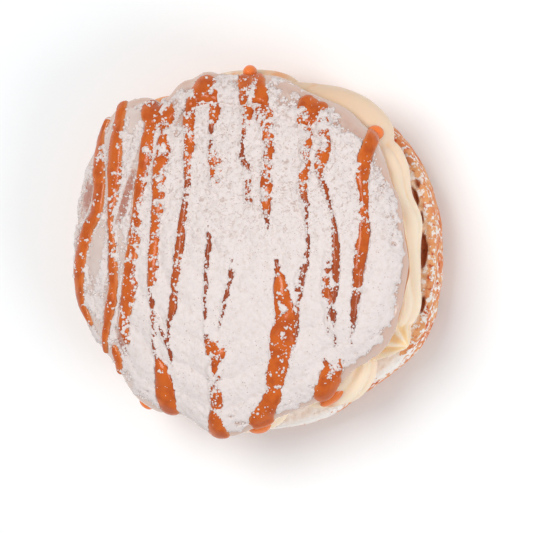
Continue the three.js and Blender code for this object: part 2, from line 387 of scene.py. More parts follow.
# Caramel lines on the laid-out skin: place, half-width, and the share that the sugar leaves bare.
DRIZZLES = LineMap(
    (
        (
            (-46.5, 42, 1.8, 0.8), (-48, 37, 2.4, 0.85), (-47, 32, 2.7, 0.85),
            (-44.6, 22, 2.6, 0.9), (-45, 12.5, 2.4, 0.95), (-48.6, 6.5, 2.6, 0.9),
            (-52.4, -3, 2.9, 0.9), (-53.8, -11, 3.0, 0.95), (-53.2, -17, 2.4, 0.9),
            (-50, -23, 1.2, 0.6),
        ),
        (
            (-41.5, 48, 1.9, 0.9), (-39.5, 43, 2.2, 0.95), (-38.8, 36, 2.5, 0.8),
            (-38.6, 19, 2.3, 0.75), (-39.7, 9, 1.3, 1.0), (-38.8, 3, 1.4, 0.95),
            (-38.8, -12, 1.9, 1.0), (-40.5, -19.5, 1.8, 1.0), (-42.5, -25, 1.6, 1.0),
            (-45, -32, 1.2, 0.8),
        ),
        ((-40, -30.5, 1.0, 0.7), (-39.5, -34.5, 2.1, 0.85), (-40.5, -38.5, 1.5, 0.7)),
        (
            (-29.5, 45.5, 2.3, 0.8), (-28, 42, 2.7, 0.75), (-25.5, 44.5, 2.6, 0.8),
            (-22, 42.5, 3.0, 0.95), (-24.5, 38.5, 2.6, 0.75),
        ),
        (
            (-26.7, 41, 2.2, 0.75), (-27.2, 29, 2.3, 0.85), (-29.3, 15.5, 2.3, 0.9),
            (-31.2, 0.5, 2.3, 0.9), (-32.2, -7, 2.6, 0.95), (-32.6, -13, 2.6, 0.95),
            (-34.5, -19.5, 2.2, 1.0), (-35.5, -23.5, 1.7, 0.9), (-34.5, -28, 1.3, 0.8),
        ),
        (
            (-20.8, 38.5, 2.1, 0.85), (-22, 26, 2.5, 0.85), (-22.8, 12, 2.0, 0.85),
            (-23.9, -2.5, 2.0, 0.85), (-24.3, -9.5, 1.7, 0.9), (-24.7, -14.5, 0.9, 0.9),
            (-24, -19.5, 1.5, 0.75), (-24.5, -27, 0.9, 0.6), (-23.8, -33.5, 1.4, 1.0),
            (-22.6, -38.5, 2.6, 1.3), (-22.6, -44, 3.4, 1.45), (-23.5, -50.5, 3.4, 1.5),
        ),
        (
            (-23, -22.5, 0.7, 0.6), (-21.5, -26, 0.8, 0.8), (-19.5, -30, 0.9, 0.9),
            (-18.5, -36.5, 0.6, 0.6),
        ),
        (
            (-10.5, 52.2, 3.4, 1.2), (-9.8, 49.2, 4.8, 0.95), (-12.6, 46, 2.6, 0.8),
            (-13.7, 42, 2.2, 0.75), (-13.1, 36, 2.1, 0.75), (-12.6, 28, 1.8, 0.8),
            (-12.9, 18, 1.1, 0.9), (-14, 10.5, 1.3, 0.95), (-15.7, -4, 1.4, 0.95),
            (-17.5, -16.5, 1.4, 0.95), (-18.5, -22, 1.0, 0.85), (-19.5, -28.5, 0.7, 0.8),
        ),
        (
            (-7.3, 49, 2.4, 0.9), (-6, 45, 2.1, 0.75), (-5.6, 40, 1.8, 0.7),
            (-5.7, 34.5, 0.6, 0.7), (-4.2, 28, 2.0, 0.6), (-3.2, 24, 2.4, 0.6),
            (-3.8, 20, 1.4, 0.45),
        ),
        (
            (-5.4, 7, 0.6, 0.7), (-5.6, 0, 0.9, 0.9), (-6, -8, 0.9, 0.85),
            (-6.8, -18.5, 0.8, 0.9), (-6.6, -26, 0.7, 0.8), (-4.3, -30.5, 3.0, 1.0),
            (-3, -32.3, 2.4, 1.0), (-5.4, -36, 1.1, 0.6), (-4.9, -37.8, 2.4, 0.95),
            (-6, -41.5, 1.1, 0.6), (-4.8, -45, 2.1, 0.9), (-5.8, -49.5, 1.6, 0.75),
            (-6.5, -53.5, 2.6, 1.2), (-7, -58.5, 3.5, 1.6),
        ),
        (
            (2.4, 54.5, 2.6, 0.8), (3.4, 50, 2.5, 0.65), (4.9, 44, 2.1, 0.7),
            (5.4, 39.5, 1.8, 0.7), (4.8, 33.5, 0.9, 0.85), (5, 28, 1.0, 0.85),
            (6.7, 25, 1.2, 0.7), (7.5, 15, 1.3, 0.4),
        ),
        (
            (2.3, -3, 0.5, 0.8), (1.2, -11, 1.0, 0.95), (-0.3, -16, 0.9, 0.9),
            (-2.4, -24.5, 0.5, 0.7),
        ),
        (
            (6.5, 55.5, 2.0, 0.75), (7.6, 51, 2.5, 0.75), (9.6, 44.5, 2.6, 0.7),
            (11.3, 39.5, 2.6, 0.7), (13, 33.5, 1.9, 0.65), (13.2, 28, 1.6, 0.6),
            (12.8, 22.5, 1.9, 0.8), (13.4, 15, 1.8, 0.85), (13.2, 9, 1.0, 0.85),
            (13.4, 5, 0.5, 0.7),
        ),
        (
            (16, -3.5, 0.7, 1.0), (17, -7, 1.6, 1.1), (18, -12.5, 2.4, 1.1),
            (18.6, -17, 3.0, 0.95), (18.7, -22, 3.7, 0.95), (17.6, -27.6, 3.8, 0.95),
            (16.2, -33.8, 3.2, 1.0), (14.5, -38.4, 2.9, 1.1), (12.9, -43.7, 2.8, 1.05),
            (10.8, -48.5, 2.8, 1.3), (8, -52.2, 3.7, 1.4), (7.2, -55, 3.7, 1.4),
        ),
        (
            (24, -5.6, 0.6, 0.6), (22.9, -10.8, 1.0, 0.7), (23.5, -15.4, 1.2, 0.8),
            (22.4, -20, 1.3, 0.8), (20.8, -26, 1.3, 0.8),
        ),
        ((23.6, 46, 2.8, 1.0), (24.8, 42.8, 4.2, 0.9), (23.5, 39, 2.4, 0.7)),
        (
            (23.5, 41, 2.2, 0.7), (24.7, 32.5, 1.8, 0.55), (24.7, 26, 1.9, 0.6),
            (24.5, 20, 1.6, 0.8), (25.8, 13, 1.0, 0.85), (26.2, 6, 0.9, 0.9),
            (25.4, -3, 1.0, 0.9), (23.8, -12.5, 0.8, 0.75), (22.5, -18.5, 0.7, 0.6),
        ),
        (
            (28.2, 44.5, 2.3, 0.8), (29.3, 39, 2.0, 0.7), (30.2, 33.5, 1.7, 0.6),
            (29.8, 28, 2.1, 0.8), (29.5, 23.5, 1.4, 0.6), (31, 18, 1.3, 0.65),
            (32.5, 13, 1.0, 0.8), (34, 5, 1.2, 1.0), (34.5, -8, 1.2, 1.0), (33.8, -19, 1.0, 1.0),
            (32.9, -29, 0.5, 0.7),
        ),
        (
            (32.5, -1.5, 0.9, 0.6), (31.7, -9.5, 1.4, 0.65), (31.9, -16.5, 1.4, 0.65),
            (31.6, -25, 0.7, 0.6),
        ),
        (
            (29.5, -33.5, 0.9, 0.5), (30.6, -37, 2.0, 0.7), (30.4, -41, 3.6, 1.3),
            (28.4, -45.5, 3.4, 1.4),
        ),
        ((34, -33.5, 0.7, 0.5), (33.2, -37, 1.4, 0.7), (31.5, -40, 2.0, 1.2)),
        (
            (47.5, 41, 2.2, 1.3), (45.6, 37.5, 2.2, 1.3), (42.6, 30.5, 2.3, 1.2),
            (41.6, 24.5, 2.1, 1.1), (41.8, 19, 1.8, 0.95), (42.6, 8.5, 1.7, 0.95),
            (41.5, -4, 1.6, 0.95), (40.4, -13, 1.3, 1.0), (39, -21, 1.0, 0.95),
            (37.8, -29, 0.5, 0.5),
        ),
    )
)


# ---- Meshes ----
def deselect_all():
    bpy.ops.object.select_all(action="DESELECT")


def make_active(piece):
    deselect_all()
    piece.select_set(True)
    bpy.context.view_layer.objects.active = piece


def new_object(name, data):
    item = bpy.data.objects.new(name, data)
    bpy.context.scene.collection.objects.link(item)
    return item


def in_a_row(values, kind):
    return np.ascontiguousarray(values, kind).ravel()


def write_points(piece, points):
    piece.data.vertices.foreach_set("co", in_a_row(points, np.float32))
    piece.data.update()


def write_round(piece, axis, x, y, z):
    """Places points by their distances from an upright axis, in millimetres."""
    write_points(piece, np.stack([x + axis[0], y + axis[1], z], -1) * MM)


def read_vectors(piece, kind="co"):
    """The piece's points, or another vector that it keeps for each of them."""
    vectors = np.empty(len(piece.data.vertices) * 3, np.float32)
    piece.data.vertices.foreach_get(kind, vectors)
    return vectors.reshape(-1, 3).astype(float)


def paint(piece, **fields):
    """Keeps numbers for each point, which the piece's finish reads.

    Too few numbers are repeated, so that the lower side of a skin is painted like its upper side.
    """
    for name, values in fields.items():
        layer = piece.data.attributes.new(name, "FLOAT", "POINT")
        values = np.resize(values, len(layer.data))
        layer.data.foreach_set("value", in_a_row(values, np.float32))


def triangle_piece(name, points, triangles):
    mesh = bpy.data.meshes.new(name)
    mesh.vertices.add(len(points))
    mesh.vertices.foreach_set("co", in_a_row(points, np.float32))
    mesh.loops.add(len(triangles) * 3)
    mesh.loops.foreach_set("vertex_index", in_a_row(triangles, np.int32))
    mesh.polygons.add(len(triangles))
    mesh.polygons.foreach_set("loop_start", np.arange(0, len(triangles) * 3, 3, dtype=np.int32))
    mesh.update(calc_edges=True)
    mesh.validate()
    return new_object(name, mesh)


def join(pieces):
    """Joins the pieces into the first."""
    make_active(pieces[0])
    for piece in pieces[1:]:
        piece.select_set(True)
    bpy.ops.object.join()


def apply_modifier(piece, kind, **settings):
    make_active(piece)
    modifier = piece.modifiers.new(kind.lower(), kind)
    for name, value in settings.items():
        setattr(modifier, name, value)
    bpy.ops.object.modifier_apply(modifier=modifier.name)


def finish_piece(piece, material, node=None, angle=60.0):
    """Smooths all but sharp edges and says what the piece is made of and stands for."""
    make_active(piece)
    bpy.ops.object.shade_smooth_by_angle(angle=math.radians(angle))
    piece.data.materials.clear()
    piece.data.materials.append(material)
    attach(piece, "root")
    if node:
        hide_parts(node)


def ringed_body(name, around, rings):
    """A closed body of rings from pole to pole, with each point's heading and share of the way."""
    deselect_all()
    bpy.ops.mesh.primitive_uv_sphere_add(segments=around, ring_count=rings, radius=1.0)
    body = bpy.context.object
    body.name = name
    body.data.name = name
    points = read_vectors(body)
    heading = np.arctan2(points[:, 1], points[:, 0])
    share = np.arccos(np.clip(points[:, 2], -1.0, 1.0)) / np.pi
    return body, heading, share


def used_only(triangles):
    """The points that triangles use, and the triangles renumbered to them alone."""
    used, renumbered = np.unique(triangles, return_inverse=True)
    return used, renumbered.reshape(-1, 3)


def grid_triangles(count):
    """Triangles over a square grid of points, whose diagonals run to and fro."""
    index = np.arange(count * count).reshape(count, count)
    a, b, c, d = index[:-1, :-1], index[1:, :-1], index[1:, 1:], index[:-1, 1:]
    cells = np.arange(count - 1)
    even = (np.add.outer(cells, cells) % 2 == 0)[..., None]
    one = np.where(even, np.stack([a, b, c], -1), np.stack([a, b, d], -1))
    two = np.where(even, np.stack([a, c, d], -1), np.stack([b, c, d], -1))
    return np.concatenate([one.reshape(-1, 3), two.reshape(-1, 3)])


def clipped_skin(field, step, reach):
    """Triangles over the laid-out skin where a field is above 0, cut along its zero line."""
    count = int(2 * reach / step) + 1
    line = (np.arange(count) - (count - 1) / 2) * step
    u, v = (side.ravel() for side in np.meshgrid(line, line, indexing="ij"))
    value = field(u, v)
    triangles = grid_triangles(count)
    inside = value > 0
    kept = inside[triangles].sum(axis=1)
    cuts = []
    for wanted in (1, 2):
        mixed = triangles[kept == wanted]
        odd = np.argmax(inside[mixed] == (wanted == 1), axis=1)
        order = (odd[:, None] + np.arange(3)) % 3
        cuts.append(np.take_along_axis(mixed, order, axis=1))
    total = count * count
    edges = [np.sort(cut[:, pair], axis=1) for cut in cuts for pair in ([0, 1], [0, 2])]
    edges = np.concatenate(edges)
    keys, place = np.unique(edges[:, 0] * total + edges[:, 1], return_inverse=True)
    low, high = keys // total, keys % total
    share = np.clip(value[low] / (value[low] - value[high]), 0.06, 0.94)
    u = np.concatenate([u, u[low] + (u[high] - u[low]) * share])
    v = np.concatenate([v, v[low] + (v[high] - v[low]) * share])
    value = np.concatenate([value, np.zeros(len(keys))])
    lone, pair = cuts
    counts = np.cumsum([len(lone), len(lone), len(pair)])
    lone_one, lone_two, pair_one, pair_two = np.split(place.ravel() + total, counts)
    triangles = np.concatenate(
        [
            triangles[kept == 3],
            np.stack([lone[:, 0], lone_one, lone_two], -1),
            np.stack([pair_one, pair[:, 1], pair[:, 2]], -1),
            np.stack([pair_one, pair[:, 2], pair_two], -1),
        ]
    )
    used, triangles = used_only(triangles)
    return u[used], v[used], value[used], triangles


def skin_piece(name, field, top, bottom, step, reach, keep=None):
    """A closed skin over the lid, between two heights off its surface, where field is above 0."""
    u, v, value, triangles = clipped_skin(field, step, reach)
    if keep is not None:
        wanted = keep(u[triangles].mean(axis=1), v[triangles].mean(axis=1))
        used, triangles = used_only(triangles[wanted])
        u, v, value = u[used], v[used], value[used]
    count = len(u)
    upper = lid_lifted(u, v, top(u, v, value))
    lower = lid_lifted(u, v, bottom(u, v, value))
    edges = np.concatenate([triangles[:, [0, 1]], triangles[:, [1, 2]], triangles[:, [2, 0]]])
    ends = np.sort(edges, axis=1)
    keys = ends[:, 0] * count + ends[:, 1]
    _, first, times = np.unique(keys, return_index=True, return_counts=True)
    start, end = edges[first[times == 1]].T
    faces = [
        triangles,
        triangles[:, ::-1] + count,
        np.stack([end, start, start + count], -1),
        np.stack([end, start + count, end + count], -1),
    ]
    piece = triangle_piece(name, np.concatenate([upper, lower]), np.concatenate(faces))
    return piece, u, v, value


# ---- Finishes ----
def tint(red, green, blue):
    """A screen colour, 0 to 255, as the linear values that Blender's sockets take."""
    linear = []
    for part in (red, green, blue):
        share = part / 255.0
        linear.append(share / 12.92 if share <= 0.04045 else ((share + 0.055) / 1.055) ** 2.4)
    return (*linear, 1.0)


class Value:
    """A number on a shader socket, with which sums are written as plain expressions."""

    def __init__(self, finish, socket):
        self.finish = finish
        self.socket = socket

    def _with(self, operation, first, second):
        node = self.finish.node("ShaderNodeMath", {"operation": operation}, {0: first, 1: second})
        return Value(self.finish, node.outputs[0])

    def __add__(self, other):
        return self._with("ADD", self, other)

    __radd__ = __add__

    def __sub__(self, other):
        return self._with("SUBTRACT", self, other)

    def __rsub__(self, other):
        return self._with("SUBTRACT", other, self)

    def __mul__(self, other):
        return self._with("MULTIPLY", self, other)

    __rmul__ = __mul__


class Finish:
    """A procedural material under construction."""

    def __init__(self, name, **constants):
        self.material = bpy.data.materials.new(name)
        self.material.use_nodes = True
        self.tree = self.material.node_tree
        self.tree.nodes.clear()
        self.shader = self.node("ShaderNodeBsdfPrincipled", {}, constants)
        self.node("ShaderNodeOutputMaterial", {}, {"Surface": self.shader.outputs[0]})
        self.place = self.node("ShaderNodeTexCoord", {}, {}).outputs["Object"]

    def node(self, kind, settings, sockets):
        """A new node; underscores in the names of its sockets stand for spaces."""
        node = self.tree.nodes.new(kind)
        for name, value in settings.items():
            setattr(node, name, value)
        for name, value in sockets.items():
            self.set_socket(node, name.replace("_", " ") if isinstance(name, str) else name, value)
        return node

    def set_socket(self, node, name, value):
        socket = node.inputs[name]
        if isinstance(value, Value):
            value = value.socket
        if isinstance(value, bpy.types.NodeSocket):
            self.tree.links.new(value, socket)
        else:
            socket.default_value = value

    def noise(self, size, detail=3.0, roughness=0.55, distortion=0.0):
        """A cloudy field between 0 and 1 whose features are about so many millimetres."""
        node = self.node(
            "ShaderNodeTexNoise",
            {"noise_dimensions": "3D"},
            {
                "Vector": self.place,
                "Scale": 1.0 / (size * MM),
                "Detail": detail,
                "Roughness": roughness,
                "Distortion": distortion,
            },
        )
        return Value(self, node.outputs["Fac"])

    def dots(self, size):
        """Distance to the nearest of many scattered points that lie so many millimetres apart."""
        node = self.node(
            "ShaderNodeTexVoronoi",
            {"feature": "F1"},
            {"Vector": self.place, "Scale": 1.0 / (size * MM)},
        )
        return Value(self, node.outputs["Distance"])

    def painted(self, name):
        """A number that the mesh keeps for each of its points."""
        node = self.node("ShaderNodeAttribute", {"attribute_name": name}, {})
        return Value(self, node.outputs["Fac"])

    def step(self, value, low, high):
        """0 below low and 1 above high, smoothly."""
        node = self.node(
            "ShaderNodeMapRange",
            {"interpolation_type": "SMOOTHSTEP"},
            {"Value": value, "From Min": low, "From Max": high},
        )
        return Value(self, node.outputs["Result"])

    def patches(self, low, high, *cloud):
        """Patches where a noise with the given size and so on goes from low to high."""
        return self.step(self.noise(*cloud), low, high)

    def blend(self, factor, first, second):
        """From the first colour to the second as the factor goes from 0 to 1."""
        node = self.node("ShaderNodeMix", {"data_type": "RGBA"}, {0: factor, 6: first, 7: second})
        return node.outputs[2]

    def coats(self, body, **colours):
        """Painted colours over a body colour, one after another, each by its painted name."""
        for name, colour in colours.items():
            body = self.blend(self.painted(name), body, colour)
        return body

    def colour(self, socket):
        self.set_socket(self.shader, "Base Color", socket)

    def relief(self, value, depth):
        """Raised and sunk by a field between 0 and 1, over so many millimetres."""
        sockets = {"Height": value, "Strength": 1.0, "Distance": depth * MM}
        node = self.node("ShaderNodeBump", {}, sockets)
        self.set_socket(self.shader, "Normal", node.outputs["Normal"])


# ---- Settings that a user would change ----
def thickness_setting(name, description, millimetres):
    return bpy.props.FloatProperty(
        name=name, description=description, default=millimetres * MM, min=0.0, unit="LENGTH"
    )


def colour_setting(name, description, screen):
    return bpy.props.FloatVectorProperty(
        name=name, description=description, default=tint(*screen), subtype="COLOR", size=4
    )


class ScrollSizes(bpy.types.PropertyGroup):
    glaze: thickness_setting("Glaze", "Thickness of the glaze on the upper half", 0.45)
    caramel: thickness_setting("Caramel", "Height of the caramel lines above the glaze", 1.1)
    sugar: thickness_setting("Icing sugar", "Thickness of the sifted icing sugar", 0.45)
    grains: bpy.props.IntProperty(
        name="Loose grains", description="Number of loose lumps of sugar", default=8000, min=0
    )


class ScrollColours(bpy.types.PropertyGroup):
    crust: colour_setting("Crust", "Browned outside of the dough", (232, 132, 76))
    crumb: colour_setting("Crumb", "Cut face of the dough", (247, 214, 186))
    cinnamon: colour_setting("Cinnamon", "Spice between the turns", (168, 84, 44))
    cream: colour_setting("Cream", "Piped filling", (255, 226, 200))
    glaze: colour_setting("Glaze", "Thin sugar glaze over the dough", (214, 188, 176))
    caramel: colour_setting("Caramel", "Drizzled sauce", (204, 98, 30))
    sugar: colour_setting("Icing sugar", "Sifted icing sugar", (227, 215, 212))


def setting(name):
    """One of the panel's sizes, in millimetres."""
    return getattr(bpy.context.scene.scroll_sizes, name) / MM


def shade(name):
    """One of the panel's colours."""
    return tuple(getattr(bpy.context.scene.scroll_colours, name))


# ---- Lower half ----
LIGHT_CRUST = tint(242, 176, 122)
DARK_SPECKS = tint(206, 84, 38)
CRUMB_SHADE = tint(230, 172, 122)
DUSTING = tint(255, 244, 237)


def base_material():
    finish = Finish("baked_dough", Roughness=0.7, Specular_IOR_Level=0.3)
    browning = finish.patches(0.35, 0.65, 5.0)
    crust = finish.blend(browning, LIGHT_CRUST, shade("crust"))
    specks = finish.patches(0.56, 0.68, 2.6, 2.0) * (finish.painted("baked") * 0.85 + 0.15)
    crust = finish.blend(specks, crust, DARK_SPECKS)
    open_crumb = finish.patches(0.42, 0.66, 2.6, 4.0, 0.65)
    inside = finish.blend(open_crumb, shade("crumb"), CRUMB_SHADE)
    skin = finish.coats(crust, crumb=inside)
    grain = finish.noise(1.7, 2.0, 0.6)
    cover = finish.step(grain + finish.painted("dust") * 0.3, 0.58, 0.67)
    skin = finish.blend(cover, skin, DUSTING)
    finish.colour(finish.coats(skin, spice=shade("cinnamon")))
    finish.relief(finish.noise(0.8, 4.0, 0.6) + cover * 0.4, 0.35)
    return finish.material


# Air pockets in the cut face: heading, distance in from the outline, half-length in degrees,
# half-width and depth.
POCKETS = (
    (-0.8, 4.6, 6.4, 1.3, 2.2),
    (18.0, 4.6, 3.6, 0.8, 1.8),
    (10.7, 4.2, 2.4, 0.6, 1.2),
    (22.0, 2.6, 1.6, 0.8, 1.0),
    (-18.5, 3.2, 3.0, 0.9, 1.5),
)

# Headings where sugar lies thick on the cut face, and the reach to each side.
BASE_DUSTINGS = ((-42.0, 9.0), (-75.0, 20.0))

# The heading on which most of the sifted sugar fell.
DUSTED_SIDE = -40.0

# The streak of cinnamon in the cut face: heading, reach to each side, distance in and half-width.
STREAK = (31.0, 6.0, 2.4, 1.0)

# Distance in from the outline over which the crust gives way to crumb on the cut face.
CRUST_EDGE = 2.3
CRUST_FADE = 1.2

# Shares of the way from pole to pole at which the cut face ends and the underside begins.
BASE_TOP_SHARE = 0.42
BASE_FOOT_SHARE = 0.8


def flank_radius(rise):
    """Reach of the lower half's flank at a level, before its outline's swellings."""
    below = np.arccos(np.clip(1.0 - rise / BASE_WAIST, -1.0, 1.0))
    radius = BASE_FOOT + (BASE_RADIUS - BASE_FOOT) * np.sin(np.minimum(below, np.pi / 2))
    over = clamped((rise - BASE_WAIST) / (BASE_HEIGHT - BASE_WAIST))
    return radius - BASE_LEAN * over**2 - BASE_RIM * clamped((over - 0.9) / 0.1) ** 2


def pocket_depth(angle, inwards):
    """Depth of the air pockets at a heading and a distance in from the outline."""
    hollow = np.zeros(len(angle))
    for at, middle, half_length, half_width, depth in POCKETS:
        along = turned_by(angle, at) / half_length
        across = (inwards - middle) / half_width
        deep = clamped(1.0 - along**2 - across**2) ** 0.5
        hollow = np.maximum(hollow, deep * depth)
    return hollow


class SCROLL_OT_base(bpy.types.Operator):
    """Model the lower half, with its flank, its cut face and its underside"""

    bl_idname = "scroll.base"
    bl_label = "Lower half"

    def execute(self, context):
        base, heading, share = ringed_body("base_dough", 660, 100)
        angle = np.degrees(heading)
        edge = base_outline(angle)
        on_top, on_foot = share < BASE_TOP_SHARE, share > BASE_FOOT_SHARE
        down = (share - BASE_TOP_SHARE) / (BASE_FOOT_SHARE - BASE_TOP_SHARE)
        rise = clamped(1.0 - down) * BASE_HEIGHT
        to_middle = 1.0 - clamped(share / BASE_TOP_SHARE)
        top_radius = (BASE_RADIUS - BASE_LEAN - BASE_RIM) * (1.0 - to_middle**1.7)
        radius = np.where(on_top, top_radius, flank_radius(rise))
        radius = np.where(on_foot, BASE_FOOT * (1.0 - share) / (1.0 - BASE_FOOT_SHARE), radius)
        radius = radius * edge / BASE_RADIUS
        fold = 0.6 * DOUGH_NOISE.cloud(np.radians(angle) * BASE_RADIUS, rise * 1.6, 11.0, 4)
        fold = fold * np.sqrt(clamped(np.sin(np.pi * clamped(down))))
        radius = np.where(on_top | on_foot, radius, radius + fold)
        inwards = edge - radius
        x, y = round_places(radius, heading)
        hollow = pocket_depth(angle, inwards)
        pits = crumb_pits(x, y, 1.6) + 0.25 * DOUGH_NOISE.cloud(x, y, 2.2)
        write_round(base, BASE_AXIS, x, y, np.where(on_top, BASE_HEIGHT - pits - hollow, rise))
        crumb = smooth_step((inwards - CRUST_EDGE) / CRUST_FADE)
        at, reach, middle, half_width = STREAK
        streak = bell(turned_by(angle, at) / reach) * bell((inwards - middle) / half_width)
        streak = streak * (rise > BASE_WAIST)
        facing = 0.5 + 0.5 * np.cos(np.radians(turned_by(angle, DUSTED_SIDE)))
        baked = smooth_step((rise - 4.0) / (BASE_HEIGHT - 8.0))
        dust = 0.32 * facing + 0.7 * (baked - 1.0)
        near_top = smooth_step((rise - BASE_HEIGHT + 8.0) / 7.0)
        for at, reach in BASE_DUSTINGS:
            dust = dust + 1.2 * bell(turned_by(angle, at) / reach) * near_top
        paint(
            base,
            crumb=np.where(on_top, crumb, 0.0),
            spice=clamped(np.maximum(hollow, streak)),
            dust=np.where(on_foot, -1.0, dust),
            baked=np.where(on_top, 1.0, baked),
        )
        finish_piece(base, base_material(), "base")
        return {"FINISHED"}


# ---- Upper half ----
LID_CRUST = (tint(226, 160, 108), tint(190, 106, 56))
LID_CRUMB_SHADE = tint(226, 176, 128)

# The share of the way from pole to pole at which the cut face begins, and the distance down the
# skin at which the crust gives way to crumb.
LID_FOOT_SHARE = 0.75
LID_CRUST_END = 61.0


def lid_material():
    finish = Finish("baked_lid", Roughness=0.7, Specular_IOR_Level=0.3)
    crust = finish.blend(finish.patches(0.35, 0.7, 7.0, 4.0), *LID_CRUST)
    inside = finish.blend(finish.patches(0.4, 0.65, 3.0), shade("crumb"), LID_CRUMB_SHADE)
    finish.colour(finish.coats(crust, crumb=inside))
    finish.relief(finish.noise(0.8, 4.0, 0.6), 0.35)
    return finish.material


class SCROLL_OT_lid(bpy.types.Operator):
    """Model the upper half's dough, with its rim and its cut face"""

    bl_idname = "scroll.lid"
    bl_label = "Upper half"

    def execute(self, context):
        lid, heading, share = ringed_body("lid_dough", 420, 108)
        swell = lid_outline(np.degrees(heading)) / LID_RADIUS
        on_foot = share > LID_FOOT_SHARE
        length = np.minimum(share / LID_FOOT_SHARE, 1.0) * LID_SKIN
        skin = lid_point(*round_places(length * swell, heading))
        to_edge = (1.0 - share) / (1.0 - LID_FOOT_SHARE)
        x, y = round_places(to_edge * (LID_RADIUS - LID_FOOT_ROUND) * swell, heading)
        foot = lid_to_part(x, y, crumb_pits(x, y, 1.2))
        write_points(lid, np.where(on_foot[:, None], foot, skin))
        crumb = smooth_step((length - LID_CRUST_END) / 1.5)
        paint(lid, crumb=np.where(on_foot, 1.0, crumb))
        finish_piece(lid, lid_material(), "lid")
        return {"FINISHED"}


# ---- Glaze ----
# Distances down the lid's skin: where the sugar breaks into clumps, where the bare rim and the
# dusting on it begin, and where the glaze, the caramel and the sugar end.
CLUMPS_BEGIN = 46.0
RIM_BEGINS = 52.0
DUSTING_BEGINS = 57.2
GLAZE_END = 60.2
CARAMEL_END = 62.4
SUGAR_END = 57.8

# The steps between the points of each skin's mesh.
GLAZE_MESH = 0.62
CARAMEL_MESH = 0.42
SUGAR_MESH = 0.36

# Half the width of the square in which a skin's mesh is made.
SKIN_REACH = 68.0
SUGAR_REACH = 64.0


def glaze_left(u, v):
    """How far above the lower edge of the glaze, which ends in a few drips, a place lies."""
    x, y = round_places(30.0, np.arctan2(v, u))
    end = np.minimum(GLAZE_END + 1.8 * GLAZE_NOISE.cloud(x, y, 9.0, 2), LID_SKIN - 0.3)
    return end - lid_length(u, v)


def glaze_height(u, v):
    """Thickness of the glaze, filling the coil's furrow and swelling at its lower edge."""
    left = glaze_left(u, v)
    bead = 0.35 * bell((left - 1.6) / 1.8)
    pool = 0.35 * coil_furrow(u, v)
    thick = setting("glaze") * (1.0 + 0.25 * GLAZE_NOISE.cloud(u, v, 6.0)) + pool + bead
    return thick * np.sqrt(clamped(left / 1.3))


# Where the glaze shows through the sugar: place, half-width, and how much cinnamon colours it.
SMEARS = LineMap(
    (
        (
            (-27.5, 35, 0.9, 0.2), (-30, 28.5, 1.0, 0.4), (-32, 22.5, 1.3, 0.9),
            (-33.5, 17.5, 1.6, 1.0), (-35, 12.5, 1.6, 1.0), (-36.6, 8.5, 1.3, 0.8),
        ),
        ((-36, 6, 1.0, 0.1), (-35.2, 0, 1.7, 0.0), (-36, -6, 1.4, 0.1), (-37.5, -13, 0.8, 0.2)),
        ((-42.4, 8, 1.2, 0.1), (-44.8, 1.5, 2.4, 0.0), (-46, -4, 2.6, 0.0), (-47, -11, 1.6, 0.1)),
        (
            (-47.5, 24, 1.0, 0.6), (-49.3, 19, 2.2, 1.0), (-50.3, 14.5, 2.2, 1.0),
            (-52, 10, 1.6, 0.7),
        ),
        ((-53, 9, 1.4, 0.8), (-54.6, 3, 1.5, 1.0), (-56, -4, 1.4, 0.9), (-57, -10, 1.2, 0.6)),
        (
            (-42.8, 43.5, 1.0, 0.1), (-42.8, 38, 0.9, 0.0), (-41.7, 28, 0.6, 0.1),
            (-41, 16, 0.5, 0.1),
        ),
        ((-36, 46.5, 2.0, 0.1), (-33, 41.5, 2.0, 0.1), (-33.5, 37, 1.0, 0.1)),
        ((-14, 44.5, 1.6, 0.4), (-16, 40.5, 2.0, 0.3), (-17.3, 36, 1.6, 0.1)),
        ((-38, -24, 1.0, 0.8), (-36.5, -29, 1.4, 1.0), (-35, -34, 1.0, 0.8)),
        ((-41, -8, 0.3, 0.7), (-42, -15, 0.4, 0.8), (-40.5, -22, 0.4, 0.8)),
        ((-45.5, -24, 1.6, 0.2), (-43.5, -31, 1.4, 0.3), (-41, -37, 1.0, 0.3)),
        ((35, 42.5, 1.2, 0.2), (38, 39.5, 2.0, 0.3), (40, 36.5, 1.6, 0.2)),
    )
)

THIN_GLAZE = tint(190, 150, 134)
PALE_GLAZE = tint(218, 199, 191)
DUSTY_GLAZE = tint(238, 220, 212)
RIM_GLAZE = tint(212, 178, 162)
BROWN_GLAZE = tint(180, 120, 102)

# The stretch of the rim that is lightly dusted: heading and reach to each side, in degrees.
DUSTY_RIM = (-35.0, 110.0)


def glaze_material():
    finish = Finish(
        "sugar_glaze",
        Roughness=0.16,
        Specular_IOR_Level=0.5,
        Subsurface_Weight=0.15,
        Subsurface_Radius=(0.002, 0.0012, 0.0008),
        Coat_Weight=0.5,
        Coat_Roughness=0.1,
    )
    milky = finish.patches(0.35, 0.68, 5.0, 3.0, 0.6, 0.4)
    body = finish.blend(milky, THIN_GLAZE, shade("glaze"))
    body = finish.coats(body, pale=PALE_GLAZE, dusty=DUSTY_GLAZE, rim=RIM_GLAZE)
    stained = finish.painted("seam") + finish.noise(1.6, 4.0, 0.65) * 1.3
    finish.colour(finish.blend(finish.step(stained, 1.2, 1.75), body, BROWN_GLAZE))
    finish.relief(finish.noise(2.2, 2.0), 0.12)
    return finish.material


